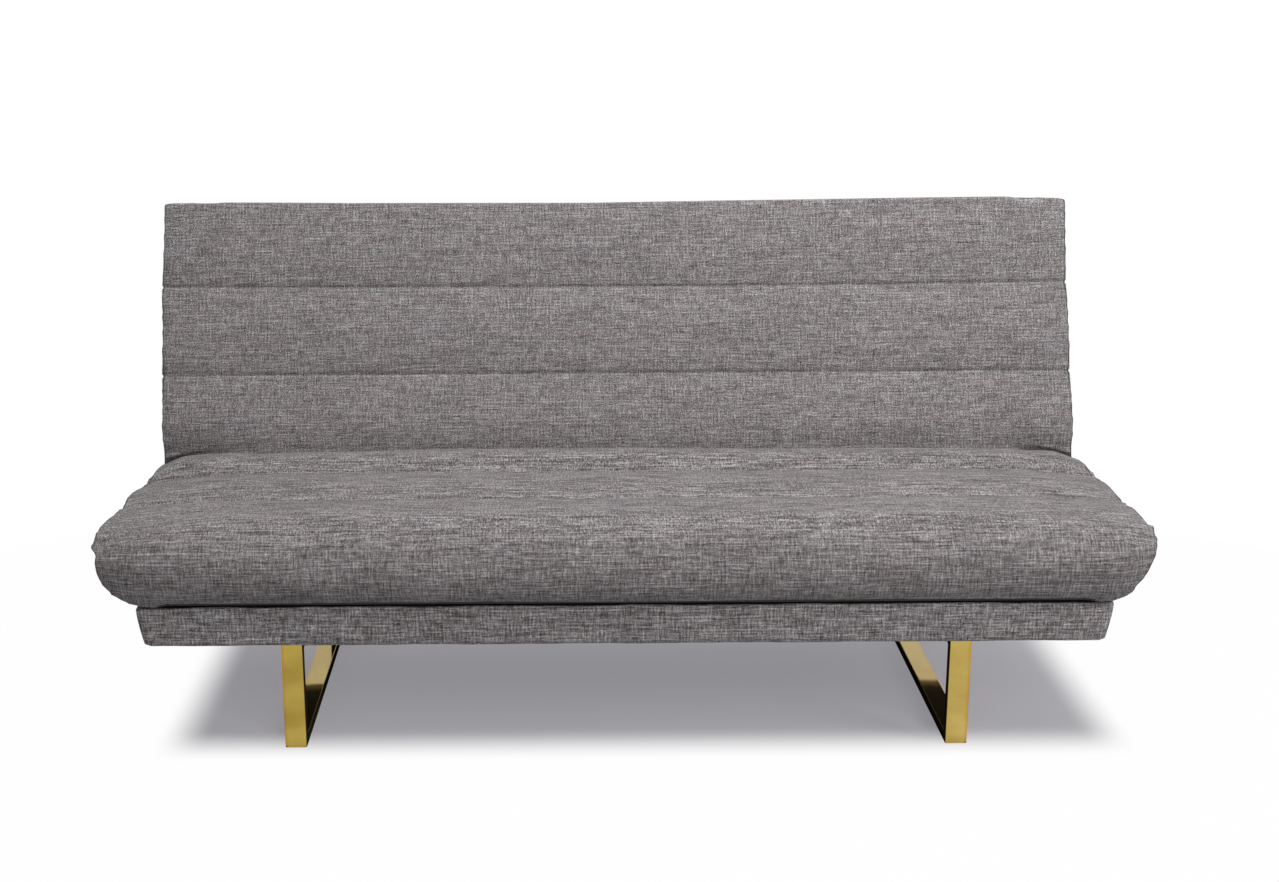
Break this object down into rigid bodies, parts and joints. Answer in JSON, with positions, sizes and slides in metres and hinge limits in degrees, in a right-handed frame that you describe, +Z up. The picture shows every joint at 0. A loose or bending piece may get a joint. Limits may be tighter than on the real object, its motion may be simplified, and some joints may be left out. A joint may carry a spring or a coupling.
{
  "type": "sofa bed",
  "caption": "Armless click-clack sofa bed with a channelled grey woven seat and folding back on a shallow fabric-covered base and rectangular brass leg loops.",
  "frame": {"origin": "on the floor under the middle of the sofa, halfway between the seat's nose and the rearmost point of the upright back", "axes": "+X to the sitter's left, which is the right-hand side seen from the front; +Y to the rear; +Z up"},
  "size_m": [1.89, 0.8632, 0.9229],
  "materials": {
    "fabric": "matte",
    "brass": "polished",
    "steel": "satin",
    "zinc": "satin",
    "wood": "matte",
    "dark_cloth": "matte",
    "plastic": "matte"
  },
  "bodies": {
    "base": {"base_band": "fabric", "base_front_rail": "wood", "base_leg_rail_left": "wood", "base_leg_rail_right": "wood", "base_rear_rail": "wood", "base_side_rail_left": "wood", "base_side_rail_right": "wood", "base_under_cloth": "dark_cloth", "bracket_screw_front_left": "zinc", "bracket_screw_front_right": "zinc", "bracket_screw_rear_left": "zinc", "bracket_screw_rear_right": "zinc", "hinge_bracket_left": "steel", "hinge_bracket_right": "steel", "leg_bolt_front_left": "zinc", "leg_bolt_front_right": "zinc", "leg_bolt_rear_left": "zinc", "leg_bolt_rear_right": "zinc", "leg_glide_front_left": "plastic", "leg_glide_front_right": "plastic", "leg_glide_rear_left": "plastic", "leg_glide_rear_right": "plastic", "leg_loop_left": "brass", "leg_loop_right": "brass", "pivot_bolt_left": "zinc", "pivot_bolt_right": "zinc", "pivot_bush_left": "plastic", "pivot_bush_right": "plastic", "pivot_nut_left": "zinc", "pivot_nut_right": "zinc"},
    "seat": {"seat_arm_left": "steel", "seat_arm_right": "steel", "seat_cushion": "fabric", "seat_deck": "wood", "seat_front_tube": "steel", "seat_middle_tube": "steel", "seat_rear_tube": "steel", "seat_side_tube_left": "steel", "seat_side_tube_right": "steel", "seat_under_cloth": "dark_cloth"},
    "back": {"back_arm_left": "steel", "back_arm_right": "steel", "back_cushion": "fabric", "back_deck": "wood", "back_lower_tube": "steel", "back_middle_tube": "steel", "back_rear_panel": "fabric", "back_side_tube_left": "steel", "back_side_tube_right": "steel", "back_top_tube": "steel", "pawl_pin_left": "zinc", "pawl_pin_right": "zinc", "pawl_spring_left": "steel", "pawl_spring_right": "steel"},
    "pawl_left": {"pawl_left": "zinc"},
    "pawl_right": {"pawl_right": "zinc"}
  },
  "joints": [
    {"name": "seat_lift", "type": "hinge", "parent": "base", "child": "seat", "pos_m": [0, 0.19591, 0.355], "axis": [-1, 0, 0], "range_deg": [0, 24]},
    {"name": "back_recline", "type": "hinge", "parent": "base", "child": "back", "pos_m": [0, 0.19591, 0.355], "axis": [-1, 0, 0], "range_deg": [0, 72]},
    {"name": "pawl_left_swing", "type": "hinge", "parent": "back", "child": "pawl_left", "pos_m": [0, 0.23162, 0.368], "axis": [-1, 0, 0], "range_deg": [0, 12]},
    {"name": "pawl_right_swing", "type": "hinge", "parent": "back", "child": "pawl_right", "pos_m": [0, 0.23162, 0.368], "axis": [-1, 0, 0], "range_deg": [0, 12]}
  ],
  "couplings": [
    {"joint": "pawl_right_swing", "follows": "pawl_left_swing", "ratio": 1}
  ]
}
